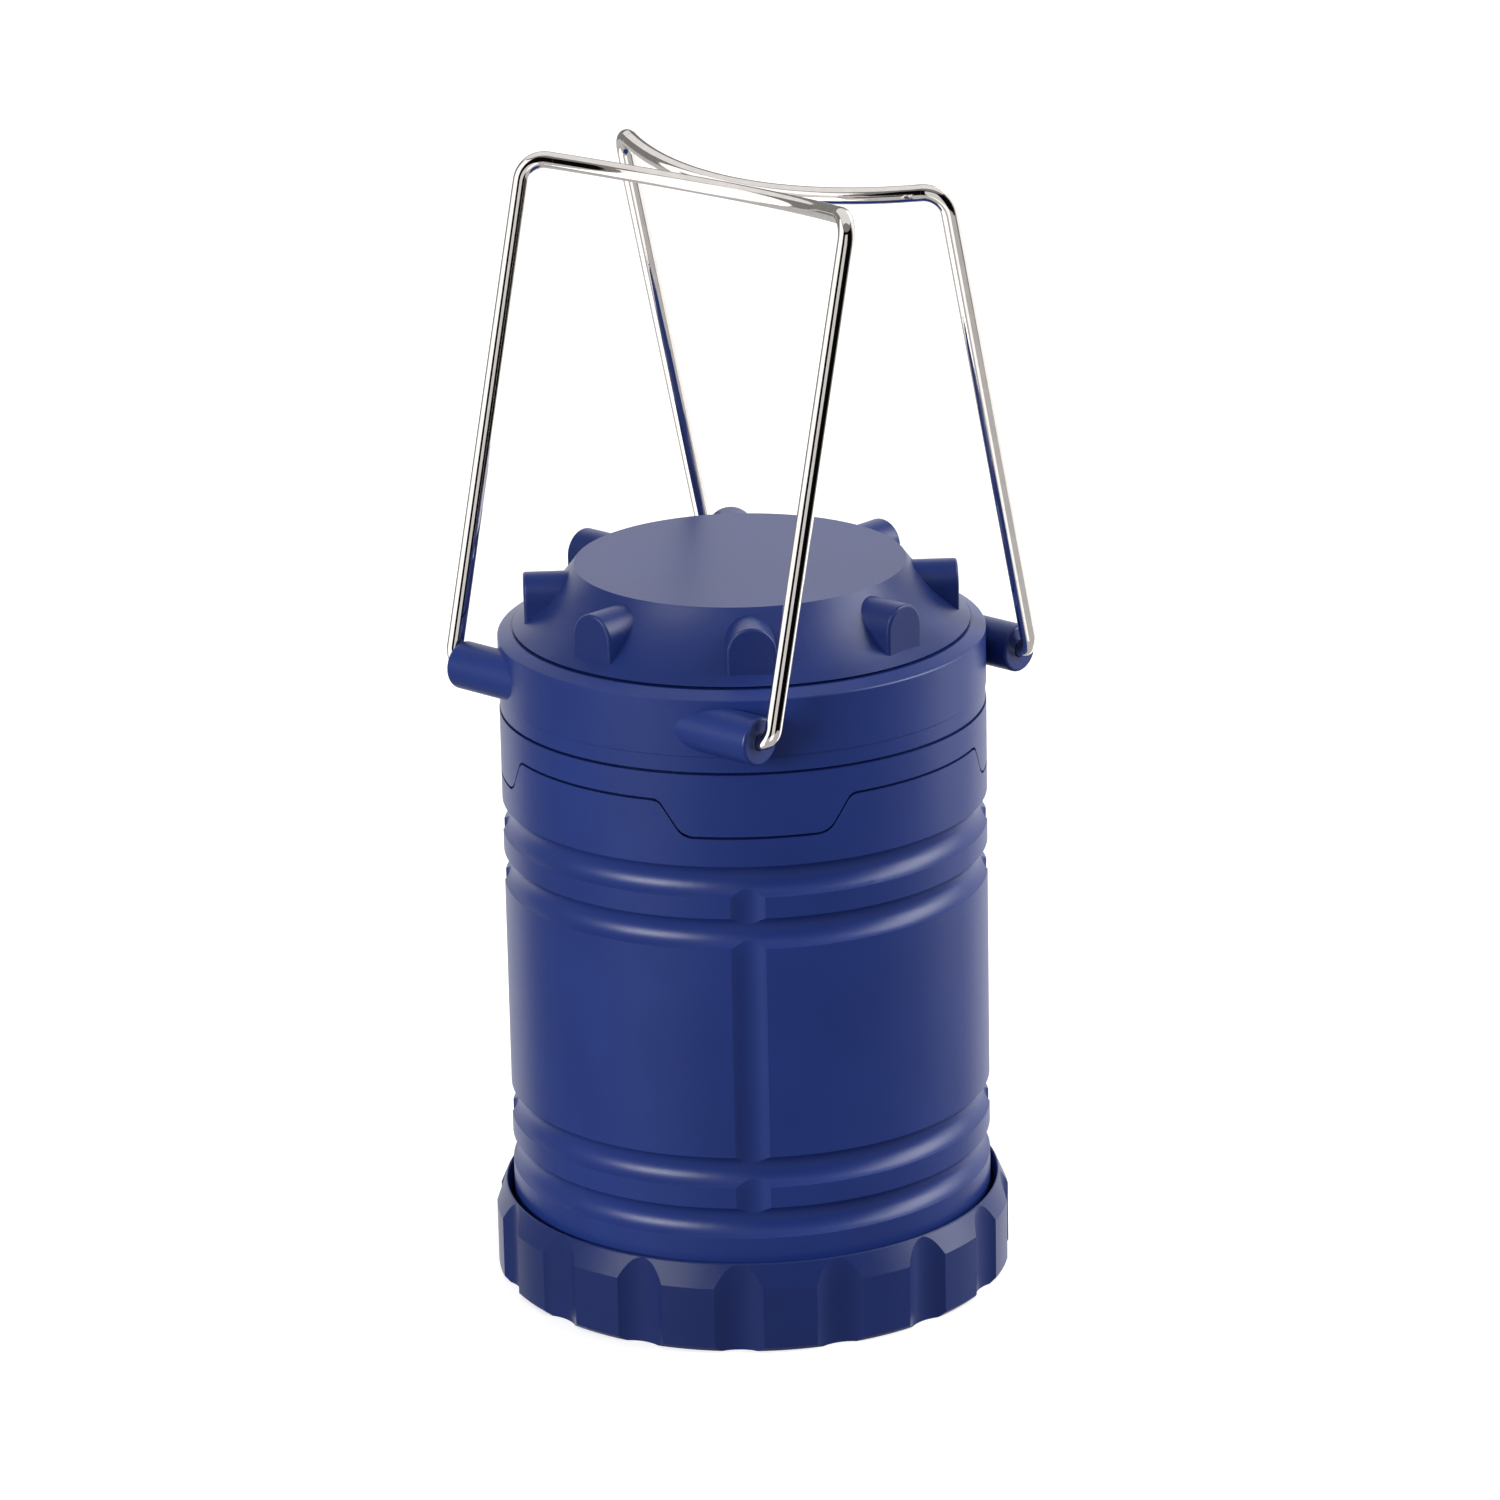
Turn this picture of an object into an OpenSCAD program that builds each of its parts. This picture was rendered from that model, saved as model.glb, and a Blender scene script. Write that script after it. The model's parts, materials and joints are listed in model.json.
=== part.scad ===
// Pop-up camping lantern, closed, with its two wire bails raised.
// Millimetres, +Z up. The origin is on the lantern's axis, in the plane it stands on.
// The body and the base stay still; the head lifts off them with the clear lens.

/* [Body] */
// Outside radius of the body, the skirt and the collar
body_r = 41; // [40.5:0.1:41.5]
// Radius of the bore that the lens slides in
bore_r = 38.7; // [38.6:0.1:39]
// Height of the parting line between the tabs
mate_z = 95.5; // [94:0.5:97]
// How far the skirt's tabs reach down below that line
tab_depth = 6.1; // [4:0.1:7]
// Half the width of a tab along its lower edge
tab_half = 12; // [9:0.5:13]
// Slope of a tab's side edges
tab_slope = 58; // [50:1:70]
// Width of the round horizontal grooves
groove_w = 5.4; // [4:0.1:6]
// Depth of the round horizontal grooves
groove_d = 1.5; // [0.8:0.1:1.5]
// Width of the round upright channels
channel_w = 6; // [4:0.1:7]
// Depth of the round upright channels
channel_d = 1.15; // [0.5:0.05:1.2]
// Turn of the channels from the middle of the tabs
channel_turn = -2.3; // [-5:0.1:5]

/* [Base cap] */
// Outside radius over the lands of the base cap
base_r = 44.1; // [44:0.1:46]
// Height of the base cap
base_h = 15.4; // [14:0.1:16]
// Number of flutes round the base cap
flutes = 16; // [12:1:18]
// Width of one flute
flute_w = 8.7; // [6:0.1:9]
// Depth of one flute
flute_d = 1.6; // [0.8:0.1:1.7]
// Turn of the first flute from the +X axis
flute_turn = -6; // [-11:0.5:11]

/* [Head] */
// Top of the lantern
top_z = 125; // [125:0.5:127]
// Radius of the flat top disc
disc_r = 28.3; // [26:0.1:29]
// Radius of the cap at its lower edge
cap_r = 38.4; // [38:0.1:39]
// Number of lugs on the cap
lugs = 8; // [4:1:12]
// Distance from the axis to a lug's outer face
lug_r = 36.4; // [35:0.1:37]
// Width of a lug
lug_w = 8.2; // [5:0.1:9]
// Travel of the head from closed to fully raised
head_travel = 60; // [40:1:60]

/* [Bails] */
// Diameter of the wire
wire_d = 2.8; // [2.4:0.1:3]
// Height of the bails' hinge axes
hinge_z = 108; // [107:0.5:109]
// Distance from the lantern's axis to a hinge axis
hinge_off = 32.6; // [32.5:0.1:33.5]
// Distance from the middle of a hinge axis to a leg of the bail
leg_u = 36; // [35.5:0.1:37]
// Length of a bail's legs
bail_h = 85.6; // [70:0.5:88]
// How far a raised bail leans over the cap
lean = 14.1; // [10:0.1:14.2]

/* [Inside] */
// Outside radius of the clear lens tube
lens_r = 37.2; // [37:0.1:37.4]
// Wall of the clear lens tube
lens_wall = 2; // [1.2:0.1:2]
// Number of light boards round the mast
boards = 6; // [6:1:6]
// Light chips on one board
chips = 5; // [3:1:5]

/* [Hidden] */

$fa = 3;
$fs = 0.4;
eps = 0.01;

blue = "#26386b";
dark = "#2b2c30";
nickel = "#c9c7c2";
white = "#f1efe8";

seam = 0.45;            // gap along every visible seam
body_foot = 3.1;        // lower edge of the body
spigot_top = 13;        // the body is narrower below this, inside the base cap
spigot_r = body_r - 1.1;
groove_z = [22, 31, 73, 82];
tab_angles = [0, 90, 180, 270];
screw_angles = [45, 135, 225, 315];
post_angles = [30, 150, 270];
lug_angles = [60, 180, 300];
lug_z = 4.4;            // underside of the body's bayonet lugs
lug_t = 1.9;            // their thickness
lug_reach = 1.3;        // how far they stand out of the spigot
rib_w = 2;              // ribs in the bore that keep the lens from turning

skirt_top = 100.4;
collar_foot = skirt_top + seam;
collar_step = 103.6;
collar_top = 114.3;
cap_foot = collar_top + seam;
flange_z = 112.6;       // underside of the collar's inner plate
flange_r = 26.5;        // opening through the head's inner plates
inner_r = 39;           // outside of the skirt's inner tube
screw_r = 31;           // circle that the head's screws stand on

lens_foot = 21;
lens_top = 109.5;
lens_in = lens_r - lens_wall;
stop_z = lens_foot + 2.4 + head_travel + 0.4;
stop_in = lens_r + 0.4;

cell_r = 7.25;
cell_len = 50.5;
cell_off = 8.95;        // from the axis to a cell's centre
cell_z = 10.6;
cell_angles = [90, 210, 330];
holder_foot = 8.2;
holder_top = 64;
key_r = 17;             // keys of the contact carrier
key_len = 4.5;
key_w = 4;
mast_screw_r = 12.2;
contact_z = cell_z + cell_len + 0.1; // underside of the upper contacts
carrier_z = 4.3;
carrier_t = 1.6;
lower_z = carrier_z + carrier_t + 0.4; // top of the lower contacts
strip_r = 9.2;          // from the axis to the return strip
flange_t = 2.2;         // flange at the foot of the battery holder
post_r = 33.4;          // circle that the holder's screws stand on
post_foot = holder_foot + flange_t + 0.2;
post_h = 8;
mast_top = 115;
mast_flat = 8.4;        // from the axis to a flat of the mast
board_t = 1;
row_z = 94.1;
row_pitch = 4.7;

// ---- shared shapes --------------------------------------------------------------------------

module tube(r_out, r_in, z0, z1) {
    difference() {
        translate([0, 0, z0]) cylinder(r = r_out, h = z1 - z0);
        translate([0, 0, z0 - 1]) cylinder(r = r_in, h = z1 - z0 + 2);
    }
}

module disc(r, z0, z1) {
    translate([0, 0, z0]) cylinder(r = r, h = z1 - z0);
}

module bore(r, z0, z1) {
    translate([0, 0, z0 - eps]) cylinder(r = r, h = z1 - z0 + 2 * eps);
}

module at(angle, r) {
    rotate([0, 0, angle]) translate([r, 0, 0]) children();
}

// Radius of the circle whose segment is w wide and d deep
function segment_r(w, d) = (w * w / 4 + d * d) / (2 * d);

function arc(cx, cy, r, a0, a1, n = 8) =
    [for (i = [0:n]) [cx + r * cos(a0 + (a1 - a0) * i / n), cy + r * sin(a0 + (a1 - a0) * i / n)]];

// Right half of a tab's outline: its foot, side edge and the round corners at both ends of it
tab_top_half = tab_half + tab_depth / tan(tab_slope);
foot_round = 3.4;
top_round = 1.8;
foot_run = foot_round * tan(tab_slope / 2);
top_run = top_round * tan(tab_slope / 2);
tab_side = concat(
    arc(tab_half - foot_run, mate_z - tab_depth + foot_round, foot_round, -90, tab_slope - 90),
    arc(tab_top_half + top_run, mate_z - top_round, top_round, 90 + tab_slope, 90));
tab_outline = concat(
    tab_side,
    [[tab_top_half + top_run, mate_z + 1], [-tab_top_half - top_run, mate_z + 1]],
    [for (i = [len(tab_side) - 1:-1:0]) [-tab_side[i][0], tab_side[i][1]]]);

// The outline of a tab, carried outwards from the axis
module tab_prism() {
    rotate([90, 0, 90]) translate([0, 0, body_r - 8]) linear_extrude(height = 12) polygon(tab_outline);
}

// A pan-head screw, head down, with a cross recess; its head's upper side is at z = 0
module pan_screw(length, d = 2.6, head_d = 5, head_h = 1.5) {
    difference() {
        union() {
            translate([0, 0, -head_h / 2]) cylinder(d = d, h = length + head_h / 2);
            translate([0, 0, -head_h]) cylinder(d = head_d, h = head_h);
        }
        for (a = [0, 90])
            rotate([0, 0, a]) translate([-head_d * 0.3, -0.3, -head_h - eps]) cube([head_d * 0.6, 0.6, 0.8]);
    }
}

// ---- body -----------------------------------------------------------------------------------

module body_grooves() {
    r = segment_r(groove_w, groove_d);
    for (z = groove_z)
        rotate_extrude() translate([body_r + r - groove_d, z]) circle(r = r);
}

module body_channels() {
    r = segment_r(channel_w, channel_d);
    for (a = tab_angles)
        at(a + channel_turn, body_r + r - channel_d)
            translate([0, 0, groove_z[0]]) cylinder(r = r, h = groove_z[3] - groove_z[0]);
}

// Bayonet lug of the body, with a stop at one end
module body_lug() {
    root = 0.5;
    rotate([0, 0, -14]) rotate_extrude(angle = 28)
        translate([spigot_r - root, lug_z]) square([root + lug_reach, lug_t]);
    rotate([0, 0, 13.5]) rotate_extrude(angle = 3.5)
        translate([spigot_r - root - 0.1, lug_z - 0.1]) square([root + lug_reach + 0.15, 4.5]);
}

// Post on the inside of the wall that the battery holder is screwed to
module holder_post() {
    intersection() {
        translate([post_r, 0, post_foot]) cylinder(r = 3.2, h = post_h);
        disc(bore_r + 0.5, post_foot - 1, post_foot + post_h + 1);
    }
    translate([post_r + 0.6, -1, post_foot]) cube([5, 2, post_h]);
}

module body_shell() {
    color(blue) difference() {
        union() {
            difference() {
                union() {
                    disc(body_r, spigot_top, mate_z);
                    disc(spigot_r, body_foot, spigot_top + 1);
                }
                bore(bore_r, body_foot, mate_z);
                body_grooves();
                body_channels();
                for (a = tab_angles) rotate([0, 0, a]) tab_prism();
            }
            for (a = post_angles) rotate([0, 0, a]) holder_post();
            for (a = screw_angles)
                rotate([0, 0, a]) translate([bore_r - 0.6, -rib_w / 2, 20]) cube([1, rib_w, stop_z - 20.5]);
            for (a = lug_angles) rotate([0, 0, a]) body_lug();
        }
        for (a = post_angles) at(a, post_r) bore(1.3, post_foot, post_foot + 6.4);
    }
}

// Ring pressed into the top of the bore: it guides the lens and stops its foot
module stop_ring() {
    color(blue) tube(bore_r - 0.02, stop_in, stop_z, mate_z + 2);
}

// ---- battery compartment --------------------------------------------------------------------

module battery_holder() {
    sleeve_r = cell_r + 1.1;
    pillar_z = 54;
    color(dark) difference() {
        union() {
            disc(37.6, holder_foot, holder_foot + flange_t);
            for (a = cell_angles) at(a, cell_off) disc(sleeve_r, holder_foot + 1, holder_top - 1);
            disc(8.8, holder_foot + 1, holder_top - 1);
            disc(cell_off + sleeve_r + 0.1, contact_z, holder_top);
            for (a = post_angles) {
                at(a, mast_screw_r) disc(2.6, pillar_z, contact_z + 1);
                rotate([0, 0, a]) translate([6, -1.5, pillar_z]) cube([5, 3, contact_z + 1 - pillar_z]);
            }
        }
        for (a = cell_angles) {
            at(a, cell_off) bore(cell_r + 0.15, holder_foot, contact_z + 0.5);
            at(a, cell_off + sleeve_r) translate([-3, -4, 18]) cube([6, 8, 36]);
        }
        at(cell_angles[0], cell_off) bore(2, contact_z, holder_top);
        rotate([0, 0, 270]) contact_bridge(0.2, contact_z - 0.1, contact_z + 0.5);
        for (a = post_angles) {
            at(a, post_r) bore(1.45, holder_foot, holder_foot + flange_t);
            at(a, 26) bore(3.4, holder_foot, holder_foot + flange_t);
            at(a, mast_screw_r) bore(1.1, holder_top - 7, holder_top);
            rotate([0, 0, a]) translate([key_r - 0.3, -key_w / 2 - 0.2, holder_foot - 1])
                cube([key_len + 0.7, key_w + 0.4, 5]);
        }
        rotate([0, 0, 270]) translate([strip_r - 0.1, -1.6, holder_foot - 1])
            cube([0.6, 3.2, holder_top - holder_foot + 2]);
    }
}

module holder_screws() {
    color(nickel)
        for (a = post_angles) at(a, post_r) translate([0, 0, holder_foot]) pan_screw(post_h, 2.55);
}

// One AA cell standing with its nub up, its flat end at z = 0
module cell() {
    cylinder(r = cell_r, h = cell_len - 1.2);
    cylinder(r = 2.7, h = cell_len);
}

module cell_at(i) {
    at(cell_angles[i], cell_off) translate([0, 0, cell_z]) cell();
}

module cell_1() { color("#b9832f") cell_at(0); }

// The middle cell stands on its nub
module cell_2() {
    color("#b9832f") at(cell_angles[1], cell_off)
        translate([0, 0, lower_z + 0.05 + cell_len]) mirror([0, 0, 1]) cell();
}

module cell_3() { color("#b9832f") cell_at(2); }

// Bar that joins the contacts of two neighbouring cells, halfway round at angle 0
module contact_bridge(grow, z0, z1) {
    translate([cell_off / 2 - 1.8 - grow, -cell_off * sin(60), z0])
        cube([3.6 + 2 * grow, 2 * cell_off * sin(60), z1 - z0]);
}

module upper_contacts() {
    color(nickel) {
        at(cell_angles[0], cell_off) {
            disc(5.6, contact_z, contact_z + 0.4);
            disc(1.6, contact_z, holder_top + 0.4);
        }
        for (a = [cell_angles[1], cell_angles[2]]) at(a, cell_off) disc(5.6, contact_z, contact_z + 0.4);
        rotate([0, 0, 270]) contact_bridge(0, contact_z, contact_z + 0.4);
    }
}

// Strip that brings the last cell's lower end up to the mast
module return_strip() {
    color(nickel) rotate([0, 0, 270]) {
        translate([strip_r, -1.5, lower_z + 0.05]) cube([0.4, 3, holder_top + 0.4 - lower_z]);
        translate([strip_r, -1.5, lower_z + 0.05]) cube([2.2, 3, 0.4]);
    }
}

// Disc that carries the lower contacts. Its three keys stand in the holder's slots, so that it
// keeps still while the base cap turns under it.
module contact_carrier() {
    color(dark) difference() {
        union() {
            disc(19.5, carrier_z, carrier_z + carrier_t);
            for (a = post_angles)
                rotate([0, 0, a]) translate([key_r, -key_w / 2, carrier_z]) cube([key_len, key_w, 5.6]);
        }
        bore(1.5, carrier_z, carrier_z + carrier_t);
    }
}

module lower_contacts() {
    z = carrier_z + carrier_t;
    color(nickel) {
        for (a = cell_angles) at(a, cell_off) disc(6, z + 0.02, lower_z);
        rotate([0, 0, 150]) contact_bridge(0, z + 0.02, lower_z);
        rotate([0, 0, 270]) translate([8.6, -0.5, z + 0.02]) cube([3, 6, lower_z - z - 0.02]);
    }
}

spring_r = 4;
spring_wire = 0.7;
spring_turns = 3;

// Centre line and tube of a conical contact spring, as rings of points along the coil
module coil_spring(height) {
    steps = 60;
    sides = 8;
    function mid(t) = let (r = spring_r - 1.4 * t, a = 360 * spring_turns * t)
        [r * cos(a), r * sin(a), spring_wire / 2 + (height - spring_wire) * t];
    function ring(t) = let (a = 360 * spring_turns * t, m = mid(t))
        [for (k = [0:sides - 1]) let (b = 360 * k / sides, w = spring_wire / 2)
            [m[0] + w * cos(b) * cos(a), m[1] + w * cos(b) * sin(a), m[2] + w * sin(b)]];
    points = [for (i = [0:steps]) each ring(i / steps)];
    faces = concat(
        [[for (k = [0:sides - 1]) k]],
        [for (i = [0:steps - 1], k = [0:sides - 1])
            let (a = i * sides + k, b = i * sides + (k + 1) % sides) [a, a + sides, b + sides, b]],
        [[for (k = [sides - 1:-1:0]) steps * sides + k]]);
    polyhedron(points, faces, convexity = 6);
}

module contact_springs() {
    color(nickel) {
        for (i = [0, 2])
            at(cell_angles[i], cell_off) translate([0, 0, lower_z + 0.02]) coil_spring(cell_z - lower_z - 0.04);
        at(cell_angles[1], cell_off) translate([0, 0, contact_z - 0.02])
            mirror([0, 0, 1]) coil_spring(contact_z - lower_z - cell_len - 0.1);
    }
}

// ---- light mast -----------------------------------------------------------------------------

module led_mast() {
    color(white) difference() {
        union() {
            disc(16, holder_top + 0.5, holder_top + 2.5);
            translate([0, 0, holder_top + 0.5])
                cylinder(r = mast_flat / cos(30), h = mast_top - holder_top - 0.5, $fn = 6);
            disc(13, 84.4, 86);
        }
        bore(6, holder_top + 0.5, mast_top);
        for (a = post_angles) at(a, mast_screw_r) bore(1.25, holder_top, holder_top + 3);
    }
}

module mast_screws() {
    color(nickel)
        for (a = post_angles) at(a, mast_screw_r)
            translate([0, 0, holder_top + 2.5]) mirror([0, 0, 1]) pan_screw(8, 2.1, 4, 1.2);
}

// Dish round the foot of the light mast
module lower_reflector() {
    color("#dfe1e4") rotate_extrude()
        polygon([[11.4, 86.1], [13, 86.1], [34.6, 84.2], [34.6, 85.4], [33.6, 85.5], [13, 91], [11.4, 91]]);
}

module led_board(i) {
    color(white) rotate([0, 0, 30 + i * 60])
        translate([mast_flat, -4.2, 91.6]) cube([board_t, 8.4, mast_top - 91.8]);
}

module led_board_1() { led_board(0); }
module led_board_2() { led_board(1); }
module led_board_3() { led_board(2); }
module led_board_4() { led_board(3); }
module led_board_5() { led_board(4); }
module led_board_6() { led_board(5); }

module led_chips() {
    color("#f3d66b")
        for (b = [0:boards - 1], row = [0:chips - 1])
            rotate([0, 0, 30 + b * 60])
                translate([mast_flat + board_t + 0.02, -1.75, row_z + row * row_pitch - 1.4])
                    cube([0.75, 3.5, 2.8]);
}

module switch_board() {
    color("#2f6b3c") disc(7.4, mast_top + 0.05, switch_z - 0.05);
}

switch_z = mast_top + 1.1;

module switch_housing() {
    color(dark) difference() {
        translate([-3, -3, switch_z]) cube([6, 6, 3.4]);
        bore(1.8, switch_z + 0.4, switch_z + 3.4);
    }
}

plunger_top = 120.4;

module switch_plunger() {
    color("#c8342a") union() {
        disc(1.7, switch_z + 1.4, plunger_top - 0.4);
        disc(1.4, plunger_top - 0.5, plunger_top);
    }
}

module battery_leads() {
    color("#a8232a")
        for (x = [-3.4, 3.4]) translate([x, 0, 0]) disc(0.6, holder_top + 0.6, mast_top);
}

// ---- base cap -------------------------------------------------------------------------------

// Bayonet lug inside the base cap, locked over a lug of the body
module bayonet_lug() {
    rotate([0, 0, -13.6]) rotate_extrude(angle = 27)
        translate([spigot_r + 0.3, lug_z + lug_t + 0.3]) square([1.4, 2]);
}

module base_cap() {
    r = segment_r(flute_w, flute_d);
    rim_r = base_r - flute_d;
    well_r = body_r + 0.5;
    color(blue) union() {
        difference() {
            rotate_extrude() polygon([
                [0, 0], [9, 0], [9.6, 0.6], [30, 0.6], [30.6, 0], [base_r - 0.8, 0], [base_r, 0.8],
                [base_r, 11.4], [rim_r, base_h - 0.2], [rim_r - 0.2, base_h], [rim_r - 0.4, base_h - 0.2],
                [well_r, base_h - 1.9], [well_r, 2], [0, 2]]);
            for (i = [0:flutes - 1])
                at(flute_turn + i * 360 / flutes, base_r + r - flute_d) bore(r, -1, base_h + 1);
        }
        difference() {
            disc(4, 1.5, 4.2);
            bore(1.3, 2.2, 5);
        }
        tube(37.6, 36.4, 1.5, 4.2);
        for (a = lug_angles) rotate([0, 0, a]) bayonet_lug();
    }
}

module base_seal() {
    color("#1d1d1f") tube(41, 37.9, 2.02, body_foot - 0.05);
}

module carrier_screw() {
    color(nickel) difference() {
        union() {
            disc(1.25, 2.6, carrier_z + carrier_t + 0.1);
            disc(2.4, carrier_z + carrier_t + 0.05, carrier_z + carrier_t + 1.2);
        }
        translate([-1.6, -0.3, carrier_z + carrier_t + 0.6]) cube([3.2, 0.6, 1]);
    }
}

// ---- head -----------------------------------------------------------------------------------

lug_h = 9;
lug_top = 123.9;

// A lug with a half-round top, from the axis out to its flat end, whose rim is rounded
module cap_knob() {
    rim = 0.5;
    half = lug_w / 2;
    length = lug_r - disc_r + 4;
    translate([disc_r - 4, 0, lug_top - half]) union() {
        rotate([0, 90, 0]) rotate([0, 0, 90]) rotate_extrude(angle = 180) union() {
            square([half, length - rim]);
            square([half - rim, length]);
            translate([half - rim, length - rim]) circle(r = rim);
        }
        translate([0, 0, half - lug_h]) linear_extrude(height = lug_h - half) union() {
            translate([0, -half]) square([length - rim, lug_w]);
            translate([0, rim - half]) square([length, lug_w - 2 * rim]);
            translate([length - rim, rim - half]) circle(r = rim);
            translate([length - rim, half - rim]) circle(r = rim);
        }
    }
}

// Half section of the cap: flat disc with a round edge, and a hollow cone down to the seam
module cap_section() {
    edge_r = 1;
    cone_r = 42;
    foot = [cap_r, cap_foot];
    head = [disc_r + 0.5, top_z - 1.3];
    middle = (foot + head) / 2;
    half = norm(foot - head) / 2;
    normal = [head[1] - foot[1], foot[0] - head[0]] / (2 * half);
    centre = middle + normal * sqrt(cone_r * cone_r - half * half);
    difference() {
        union() {
            polygon([[0, cap_foot], foot, head, [disc_r - edge_r + 0.6, top_z], [0, top_z]]);
            translate([disc_r - edge_r + 0.6, top_z - edge_r]) circle(r = edge_r);
        }
        translate(centre) circle(r = cone_r);
    }
}

module top_cap() {
    color(blue) difference() {
        union() {
            difference() {
                union() {
                    rotate_extrude() cap_section();
                    intersection() {
                        for (i = [0:lugs - 1]) rotate([0, 0, i * 360 / lugs]) cap_knob();
                        disc(50, cap_foot, 130);
                    }
                }
                translate([0, 0, cap_foot - 1]) cylinder(r1 = 36.7, r2 = 36, h = 1.8);
                translate([0, 0, cap_foot + 0.7]) cylinder(r1 = 36, r2 = 26, h = top_z - 2 - cap_foot - 0.7);
            }
            intersection() {
                union() {
                    rotate_extrude() cap_section();
                    disc(36, collar_top + 0.05, cap_foot + 1);
                }
                for (a = screw_angles) at(a, screw_r) disc(3, collar_top + 0.05, 122);
            }
        }
        for (a = screw_angles) at(a, screw_r) bore(1.35, collar_top, 118.6);
    }
}

// One boss of the collar: a round bar along the hinge axis with a softly rounded end
boss_d = 8.1;
boss_end = 33.7;
boss_round = 0.5;

module boss_bar() {
    rotate([0, 90, 0]) rotate_extrude() union() {
        square([boss_d / 2, boss_end - boss_round]);
        square([boss_d / 2 - boss_round, boss_end]);
        translate([boss_d / 2 - boss_round, boss_end - boss_round]) circle(r = boss_round);
    }
}

// Puts a shape that lies along +X onto one end of a hinge axis; side is 0 or 1, end is 1 or -1
module on_hinge(side, end) {
    rotate([0, 0, side * 180 - 45]) translate([0, -hinge_off, hinge_z])
        mirror([end < 0 ? 1 : 0, 0, 0]) children();
}

module collar() {
    shoulder = 2.2;
    color(blue) difference() {
        union() {
            rotate_extrude() union() {
                polygon([
                    [inner_r + 0.1, collar_foot], [body_r - 0.15, collar_foot],
                    [body_r - 0.15, collar_step - 0.15], [body_r, collar_step],
                    [body_r, collar_top - 1.25], [body_r - 0.125, collar_top - 1.05],
                    [body_r - shoulder, collar_top], [flange_r, collar_top], [flange_r, flange_z],
                    [inner_r + 0.1, flange_z]]);
            }
            for (side = [0, 1], end = [-1, 1])
                difference() {
                    on_hinge(side, end) boss_bar();
                    disc(inner_r + 0.6, collar_foot - 1, collar_top + 1);
                }
        }
        for (side = [0, 1], end = [-1, 1])
            on_hinge(side, end) translate([25.6, 0, 0]) rotate([0, 90, 0]) cylinder(d = wire_d + 0.2, h = 20);
        for (a = screw_angles) at(a, screw_r) bore(1.5, flange_z, collar_top);
    }
}

module skirt() {
    z1 = flange_z - 0.05;
    color(blue) difference() {
        union() {
            tube(body_r, inner_r + 0.3, mate_z + seam, skirt_top);
            intersection() {
                tube(body_r, inner_r + 0.3, mate_z - tab_depth, mate_z + 2);
                for (a = tab_angles) rotate([0, 0, a]) translate([0, 0, seam]) tab_prism();
            }
            tube(body_r - 1, lens_r + 0.5, skirt_top - 1.6, skirt_top);
            tube(inner_r, lens_r + 0.5, skirt_top - 1.6, z1);
            tube(inner_r, flange_r, z1 - 1.6, z1);
        }
        for (a = screw_angles) at(a, screw_r) bore(1.5, z1 - 1.6, z1);
    }
}

module lens_tube() {
    color("#dfe8ee", 0.4) difference() {
        union() {
            tube(lens_r, lens_in, lens_foot, lens_top);
            tube(bore_r - 0.3, lens_in, lens_foot, lens_foot + 2.4);
            tube(lens_in + 0.5, flange_r + 0.5, lens_top - 1.5, lens_top);
        }
        for (a = screw_angles) {
            at(a, screw_r) bore(1.5, lens_top - 1.5, lens_top);
            rotate([0, 0, a]) translate([bore_r - 0.9, -1.4, lens_foot - 1]) cube([2, 2.8, 5]);
        }
    }
}

reflector_z = 120.5;    // underside of the middle of the top reflector

module top_reflector() {
    z0 = lens_top + 0.05;
    z1 = flange_z - 1.7;
    color("#dfe1e4") difference() {
        rotate_extrude() polygon([
            [25, z0], [36.9, z0], [36.9, z1], [26.2, z1], [14, reflector_z + 0.9], [0, reflector_z + 0.9],
            [0, reflector_z], [13.4, reflector_z]]);
        for (a = screw_angles) at(a, screw_r) bore(1.5, z0, z1);
    }
}

module head_screws() {
    color(nickel)
        for (a = screw_angles) at(a, screw_r) translate([0, 0, lens_top - 1.5]) pan_screw(10, 2.6);
}

// ---- bails ----------------------------------------------------------------------------------

bow = 28.5;             // angle at which the bowed bar leaves its corners
bail_corner = 4;
bail_foot = 2.6;        // bend radius where a leg turns into its boss
bar_straight = 1;       // straight piece between a corner and the bowed bar
bar_lap = 0.2;          // how far it laps over both

// A bail standing upright: hinge axis along X, bowed towards +Y
module bail_upright() {
    half = leg_u - (bail_corner + bar_straight) * cos(bow);
    bow_r = half / sin(bow);
    for (end = [-1, 1]) mirror([end < 0 ? 1 : 0, 0, 0]) {
        translate([26.2, 0, 0]) rotate([0, 90, 0]) cylinder(d = wire_d, h = leg_u - bail_foot - 26.2);
        translate([leg_u - bail_foot, 0, bail_foot]) rotate([90, 0, 0])
            rotate([0, 0, -90]) rotate_extrude(angle = 90) translate([bail_foot, 0]) circle(d = wire_d);
        translate([leg_u, 0, bail_foot]) cylinder(d = wire_d, h = bail_h - bail_foot - bail_corner);
        translate([leg_u, 0, bail_h - bail_corner]) rotate([0, 0, -bow])
            translate([-bail_corner, 0, 0]) rotate([90, 0, 0])
                rotate_extrude(angle = 90) translate([bail_corner, 0]) circle(d = wire_d);
        translate([leg_u - bail_corner * cos(bow), bail_corner * sin(bow), bail_h])
            rotate([0, -90, -bow]) translate([0, 0, -bar_lap])
                cylinder(d = wire_d + 0.03, h = bar_straight + 2 * bar_lap);
    }
    translate([0, (bail_corner + bar_straight) * sin(bow) - bow_r * cos(bow), bail_h])
        rotate([0, 0, 90 - bow]) rotate_extrude(angle = 2 * bow) translate([bow_r, 0]) circle(d = wire_d);
}

module bail(side) {
    color(nickel) rotate([0, 0, side * 180 - 45]) translate([0, -hinge_off, hinge_z])
        rotate([-lean, 0, 0]) bail_upright();
}

module bail_left() { bail(0); }
module bail_right() { bail(1); }

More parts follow.
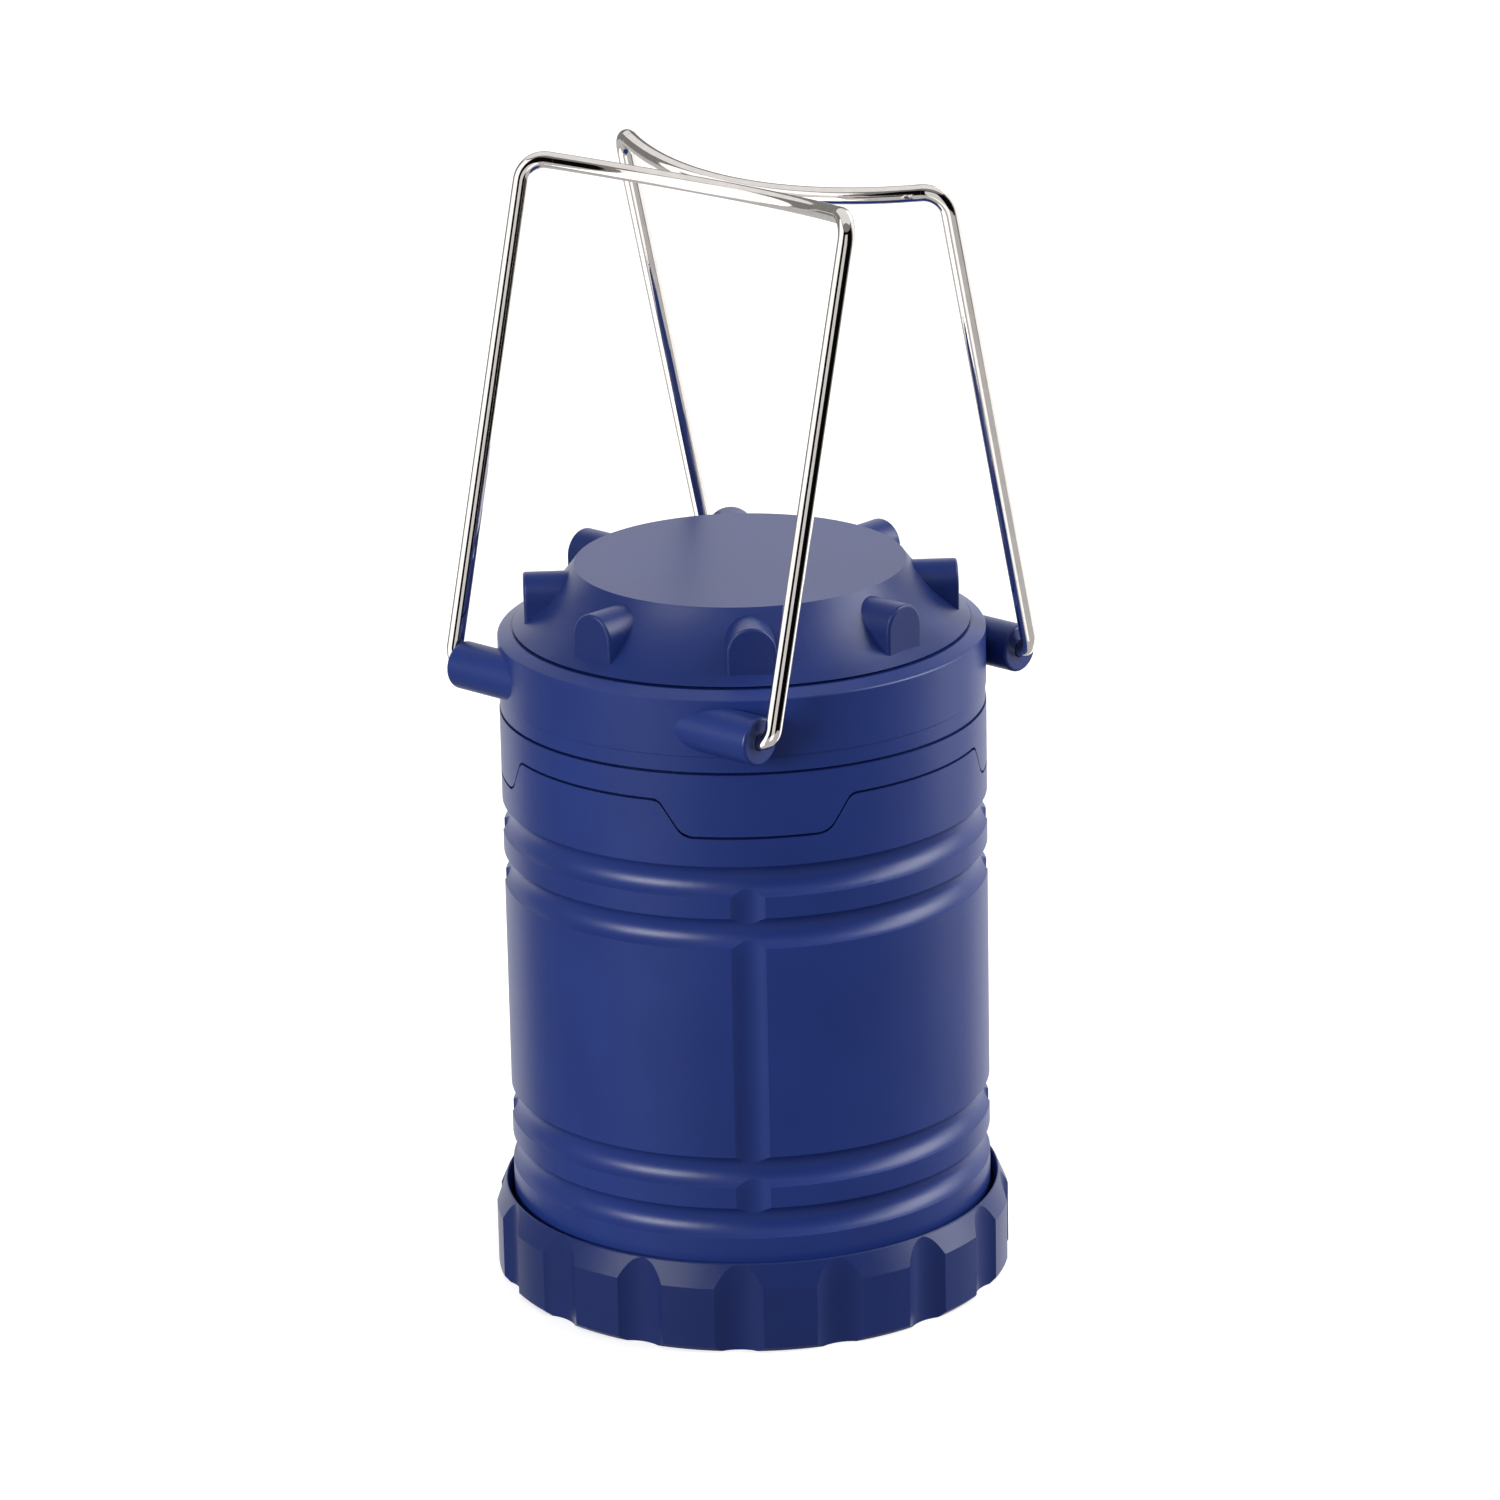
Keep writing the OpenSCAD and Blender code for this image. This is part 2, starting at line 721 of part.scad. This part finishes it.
// ---- output ---------------------------------------------------------------------------------

body_shell();
stop_ring();
battery_holder();
holder_screws();
cell_1();
cell_2();
cell_3();
upper_contacts();
return_strip();
contact_carrier();
lower_contacts();
contact_springs();
led_mast();
mast_screws();
lower_reflector();
led_board_1();
led_board_2();
led_board_3();
led_board_4();
led_board_5();
led_board_6();
led_chips();
switch_board();
switch_housing();
switch_plunger();
battery_leads();
base_cap();
base_seal();
carrier_screw();
top_cap();
collar();
skirt();
lens_tube();
top_reflector();
head_screws();
bail_left();
bail_right();
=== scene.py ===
import json
import math
import bpy
from mathutils import Matrix, Vector

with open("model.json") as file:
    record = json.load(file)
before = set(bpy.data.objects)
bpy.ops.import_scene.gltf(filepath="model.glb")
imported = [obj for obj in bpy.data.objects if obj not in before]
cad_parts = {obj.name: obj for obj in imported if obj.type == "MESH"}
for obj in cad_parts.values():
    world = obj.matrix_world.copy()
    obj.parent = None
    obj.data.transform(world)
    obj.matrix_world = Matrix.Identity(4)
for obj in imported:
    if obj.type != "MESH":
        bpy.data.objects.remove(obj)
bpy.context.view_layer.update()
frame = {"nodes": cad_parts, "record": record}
NODES = frame["nodes"]

# ---- camera -----------------------------------------------------------------------------------

TURN = math.radians(-2.5)        # how far the camera stands to the side of the front tab
ELEVATION = math.radians(18.084)
ROLL = math.radians(-1.156)
AIM = Vector((0.00103, 0.0, 0.09141))
DISTANCE = 1.1149
LENS_MM = 158.5
SENSOR_MM = 36.0


def turned(v):
    """Places are given as if the camera stood exactly in front, and are turned to where it is."""
    return Matrix.Rotation(TURN, 3, "Z") @ Vector(v)


def add_camera():
    forward = Vector((0, math.cos(ELEVATION), -math.sin(ELEVATION)))
    right = Vector((1, 0, 0))
    up = right.cross(forward)
    image_right = math.cos(ROLL) * right + math.sin(ROLL) * up
    image_up = math.cos(ROLL) * up - math.sin(ROLL) * right
    axes = Matrix((turned(image_right), turned(image_up), turned(-forward))).transposed()
    data = bpy.data.cameras.new("camera")
    data.lens = LENS_MM
    data.sensor_width = SENSOR_MM
    data.clip_start, data.clip_end = 0.05, 20
    camera = bpy.data.objects.new("camera", data)
    camera.matrix_world = Matrix.Translation(turned(AIM - forward * DISTANCE)) @ axes.to_4x4()
    bpy.context.scene.collection.objects.link(camera)
    bpy.context.scene.camera = camera


# ---- materials --------------------------------------------------------------------------------


class Nodes:
    """A material's node tree, with short calls to add and link nodes."""

    def __init__(self, name):
        self.material = bpy.data.materials.new(name)
        self.material.use_nodes = True
        self.tree = self.material.node_tree
        self.shader = self.tree.nodes["Principled BSDF"]

    def add(self, kind):
        return self.tree.nodes.new(kind)

    def link(self, a, b):
        self.tree.links.new(a, b)

    def drive(self, **sources):
        """Links node outputs to the shader's sockets."""
        for key, source in sources.items():
            self.link(source, self.shader.inputs[key.replace("_", " ")])

    def set(self, **values):
        """Sets values that are the same all over."""
        for key, value in values.items():
            self.shader.inputs[key.replace("_", " ")].default_value = value

    def noise(self, per_metre, detail=3.0, roughness=0.5):
        node = self.add("ShaderNodeTexNoise")
        node.inputs["Scale"].default_value = per_metre
        node.inputs["Detail"].default_value = detail
        node.inputs["Roughness"].default_value = roughness
        self.link(self.add("ShaderNodeTexCoord").outputs["Object"], node.inputs["Vector"])
        return node.outputs["Fac"]

    def ramp(self, source, stops, interpolation="LINEAR"):
        node = self.add("ShaderNodeValToRGB")
        node.color_ramp.interpolation = interpolation
        elements = node.color_ramp.elements
        while len(elements) < len(stops):
            elements.new(0.5)
        for element, (place, color) in zip(elements, stops):
            element.position = place
            element.color = (*color, 1)
        self.link(source, node.inputs["Fac"])
        return node.outputs["Color"]

    def tones(self, source, low, high):
        return self.ramp(source, [(0.3, low), (0.7, high)])

    def spread(self, source, low, high):
        node = self.add("ShaderNodeMapRange")
        node.inputs["To Min"].default_value = low
        node.inputs["To Max"].default_value = high
        self.link(source, node.inputs["Value"])
        return node.outputs["Result"]

    def bump(self, source, depth):
        node = self.add("ShaderNodeBump")
        node.inputs["Distance"].default_value = depth
        node.inputs["Strength"].default_value = 1.0
        self.link(source, node.inputs["Height"])
        return node.outputs["Normal"]


def shell_plastic():
    """Satin moulded plastic with a fine spark-eroded grain."""
    n = Nodes("shell_plastic")
    n.drive(Base_Color=n.tones(n.noise(60, 4), (0.010, 0.028, 0.165), (0.012, 0.032, 0.185)),
            Roughness=n.spread(n.noise(2000), 0.31, 0.41),
            Normal=n.bump(n.noise(7000, 2, 0.6), 0.000012))
    n.set(Specular_IOR_Level=0.45)
    return n.material


def bail_wire():
    """Polished plated wire, with the slight unevenness of drawn stock."""
    n = Nodes("bail_wire")
    n.drive(Base_Color=n.tones(n.noise(500), (0.78, 0.735, 0.7), (0.85, 0.805, 0.77)),
            Roughness=n.spread(n.noise(300, 4), 0.03, 0.08),
            Normal=n.bump(n.noise(1500, 2), 0.000004))
    n.set(Metallic=1.0)
    return n.material


def clear_lens():
    n = Nodes("clear_lens")
    n.drive(Base_Color=n.tones(n.noise(40, 2), (0.95, 0.97, 0.98), (0.98, 0.99, 1.0)),
            Roughness=n.spread(n.noise(200), 0.02, 0.06))
    n.set(Transmission_Weight=1.0, IOR=1.42)
    return n.material


def cell_can():
    """A sleeve with two bands between two bare metal ends, told apart by height along the cell."""
    metal, sleeve, band = (0.66, 0.65, 0.62), (0.05, 0.055, 0.06), (0.2, 0.3, 0.28)
    foot, top = 0.03, 0.97
    colors = [(0.0, metal), (foot, sleeve), (0.3, band), (0.36, sleeve), (0.64, band),
              (0.7, sleeve), (top, metal)]
    bare = [(0.0, (1, 1, 1)), (foot, (0, 0, 0)), (top, (1, 1, 1))]
    n = Nodes("cell_can")
    height = n.add("ShaderNodeSeparateXYZ")
    n.link(n.add("ShaderNodeTexCoord").outputs["Generated"], height.inputs["Vector"])
    n.drive(Base_Color=n.ramp(height.outputs["Z"], colors, "CONSTANT"),
            Metallic=n.ramp(height.outputs["Z"], bare, "CONSTANT"),
            Roughness=n.spread(n.noise(600), 0.22, 0.34),
            Normal=n.bump(n.noise(2500, 2), 0.000005))
    return n.material


def small_piece(name, low, high, rough=(0.4, 0.55), metallic=0.0, per_metre=300):
    """Tone, gloss and fine surface unevenness for a small piece."""
    n = Nodes(name)
    n.drive(Base_Color=n.tones(n.noise(per_metre), low, high),
            Roughness=n.spread(n.noise(per_metre * 2), *rough),
            Normal=n.bump(n.noise(per_metre * 6, 2), 0.00001))
    n.set(Metallic=metallic)
    return n.material


# material slot: darkest and lightest tone, then what differs from small_piece's defaults
SMALL_PIECES = {
    "dark_plastic": ((0.02, 0.02, 0.022), (0.03, 0.03, 0.033)),
    "screw_steel": ((0.55, 0.54, 0.52), (0.66, 0.65, 0.62), (0.22, 0.35), 1.0),
    "contact_metal": ((0.62, 0.6, 0.56), (0.72, 0.7, 0.66), (0.2, 0.32), 1.0),
    "white_plastic": ((0.8, 0.79, 0.75), (0.86, 0.85, 0.82)),
    "reflector": ((0.75, 0.76, 0.78), (0.85, 0.86, 0.88), (0.06, 0.12), 1.0, 80),
    "light_board": ((0.82, 0.81, 0.77), (0.88, 0.87, 0.84), (0.3, 0.4)),
    "light_chip": ((0.85, 0.62, 0.1), (0.92, 0.72, 0.18), (0.25, 0.35)),
    "circuit_board": ((0.03, 0.16, 0.06), (0.05, 0.22, 0.09), (0.3, 0.4)),
    "red_plastic": ((0.5, 0.03, 0.02), (0.6, 0.05, 0.03), (0.25, 0.35)),
    "lead_sleeve": ((0.35, 0.02, 0.02), (0.45, 0.03, 0.03)),
    "seal_rubber": ((0.012, 0.012, 0.013), (0.02, 0.02, 0.021), (0.6, 0.75)),
}


def paint_cad_nodes():
    """Gives each CAD node the material of its slot in the record."""
    made = {make.__name__: make() for make in (shell_plastic, bail_wire, clear_lens, cell_can)}
    for slot, finish in SMALL_PIECES.items():
        made[slot] = small_piece(slot, *finish)
    for entry in frame["record"]["subparts"]:
        mesh = NODES[entry["node"]].data
        mesh.materials.clear()
        mesh.materials.append(made[entry["material_slot"]])


# ---- stage ------------------------------------------------------------------------------------

GAP = 0.0001           # keeps the floor and the foot from sharing a plane
WORLD_STRENGTH = 0.23


def stage_sheet(name, rings, first, last, steps):
    """A sheet swept round the axis from (radius, height) rings, between two angles in degrees."""
    points, faces = [], []
    for i in range(steps + 1):
        angle = math.radians(first + (last - first) * i / steps)
        for radius, height in rings:
            points.append(turned((radius * math.cos(angle), radius * math.sin(angle), height)))
    for i in range(steps):
        for j in range(len(rings) - 1):
            corner = i * len(rings) + j
            faces.append((corner, corner + 1, corner + len(rings) + 1, corner + len(rings)))
    mesh = bpy.data.meshes.new(name)
    mesh.from_pydata(points, [], faces)
    mesh.shade_smooth()
    sheet = bpy.data.objects.new(name, mesh)
    bpy.context.scene.collection.objects.link(sheet)
    return sheet


def add_floor():
    """A white dish: flat round the lantern, rising far away. Its underside can be seen through."""
    rings = [(0, -GAP), (1, -GAP), (3, -GAP), (6, -GAP), (7.5, 0.2), (9, 1.0), (10, 2.5), (10.5, 5.0)]
    floor = stage_sheet("floor", rings, 0, 360, 48)
    n = Nodes("floor_white")
    n.set(Base_Color=(0.6, 0.6, 0.6, 1), Roughness=0.8, Specular_IOR_Level=0.2,
          Emission_Color=(1, 1, 1, 1), Emission_Strength=0.5)
    n.material.cycles.emission_sampling = "NONE"
    mix = n.add("ShaderNodeMixShader")
    n.link(n.add("ShaderNodeNewGeometry").outputs["Backfacing"], mix.inputs["Fac"])
    n.link(n.shader.outputs["BSDF"], mix.inputs[1])
    n.link(n.add("ShaderNodeBsdfTransparent").outputs["BSDF"], mix.inputs[2])
    n.link(mix.outputs["Shader"], n.tree.nodes["Material Output"].inputs["Surface"])
    floor.data.materials.append(n.material)
    floor.visible_glossy = False   # its white would wash out the satin plastic
    floor.visible_diffuse = False
    return floor


def add_dark_flag():
    """A dark arc round the front that only reflections see: polished wire needs something dark."""
    flag = stage_sheet("dark_flag", [(3.0, -0.8), (3.0, 3.0)], -135, -12, 12)
    n = Nodes("flag_black")
    n.set(Base_Color=(0.01, 0.01, 0.01, 1), Roughness=0.9, Specular_IOR_Level=0.0)
    flag.data.materials.append(n.material)
    for ray in ("camera", "diffuse", "transmission", "shadow"):
        setattr(flag, "visible_" + ray, False)


def set_world():
    world = bpy.data.worlds.new("studio")
    world.use_nodes = True
    background = world.node_tree.nodes["Background"]
    background.inputs["Color"].default_value = (1, 1, 1, 1)
    background.inputs["Strength"].default_value = WORLD_STRENGTH
    bpy.context.scene.world = world
    bpy.context.scene.view_settings.view_transform = "Standard"


# ---- lights -----------------------------------------------------------------------------------


def area_light(lit, name, place, target, size, power, shadows=True):
    """A soft box that lights the pieces in lit and no others."""
    data = bpy.data.lights.new(name, "AREA")
    data.shape = "RECTANGLE"
    data.size, data.size_y = size
    data.energy = power
    light = bpy.data.objects.new(name, data)
    light.location = turned(place)
    light.rotation_euler = (turned(target) - turned(place)).to_track_quat("-Z", "Y").to_euler()
    light.visible_camera = False
    group = bpy.data.collections.new(name + "_lights")
    for piece in lit:
        group.objects.link(piece)
    light.light_linking.receiver_collection = group
    if not shadows:
        light.light_linking.blocker_collection = group
    bpy.context.scene.collection.objects.link(light)


def light_the_set(floor):
    bails = [NODES["bail_left"], NODES["bail_right"]]
    cap = NODES["top_cap"]
    base = NODES["base_cap"]
    matt = [floor] + [piece for piece in NODES.values() if piece not in bails]
    below_cap = [piece for piece in matt if piece != cap]
    middle = [piece for piece in below_cap if piece != base]
    # the cap's boxes stand higher, or its flat top would mirror them towards the back
    area_light(middle, "left_box", (-0.92, -0.88, 0.4), (0, 0, 0.08), (0.75, 0.5), 15)
    area_light(middle, "right_box", (1.0, -0.04, 0.55), (0, 0, 0.08), (0.55, 1.0), 12)
    area_light([base], "left_base_box", (-0.92, -0.88, 0.3), (0, 0, 0.04), (0.9, 0.6), 8)
    area_light([base], "right_base_box", (1.0, -0.04, 0.4), (0, 0, 0.04), (0.55, 1.0), 7)
    area_light([cap], "left_cap_box", (-0.85, -0.75, 0.95), (0, 0, 0.1), (0.9, 0.7), 8.8)
    area_light([cap], "right_cap_box", (0.97, 0.08, 0.8), (0, 0, 0.1), (0.6, 0.9), 9.5)
    area_light([cap], "low_cap_box", (-0.7, -0.8, 0.06), (0, 0, 0.09), (1.2, 0.1), 2.5)
    area_light(matt, "right_wall", (1.1, 0.35, 0.2), (0, 0, 0.08), (0.5, 1.0), 3)
    area_light(matt, "front_box", (0.0, -1.2, 1.3), (0, 0, 0.08), (1.6, 0.8), 1.5)
    area_light(below_cap, "top_box", (0.0, 0.3, 1.4), (0, 0, 0.05), (1.2, 1.2), 3)
    area_light(matt, "backdrop", (0.0, 2.6, 0.0), (0, 0, 0.0), (5.8, 4.9), 79)
    area_light([floor], "floor_wash", (0.0, 1.0, 3.0), (0, 1.0, 0), (5.0, 5.0), 80, shadows=False)
    # cards that only the polished wire mirrors
    area_light(bails, "left_card", (-1.1, -0.15, 0.0), (0, 0, 0.1), (1.4, 2.6), 13)
    area_light(bails, "right_card", (0.9, 0.7, 0.0), (0, 0, 0.1), (1.7, 2.6), 13)
    area_light(bails, "front_card", (-0.1, -2.5, 0.0), (0, 0, 0.1), (1.6, 4.0), 15)
    area_light(bails, "low_card", (0.0, 0.0, -0.6), (0, 0, 0), (5.0, 5.0), 24)
    area_light(bails, "top_card", (0.0, 0.6, 1.5), (0, 0, 0.1), (3.0, 2.4), 15)


paint_cad_nodes()
add_camera()
set_world()
light_the_set(add_floor())
add_dark_flag()
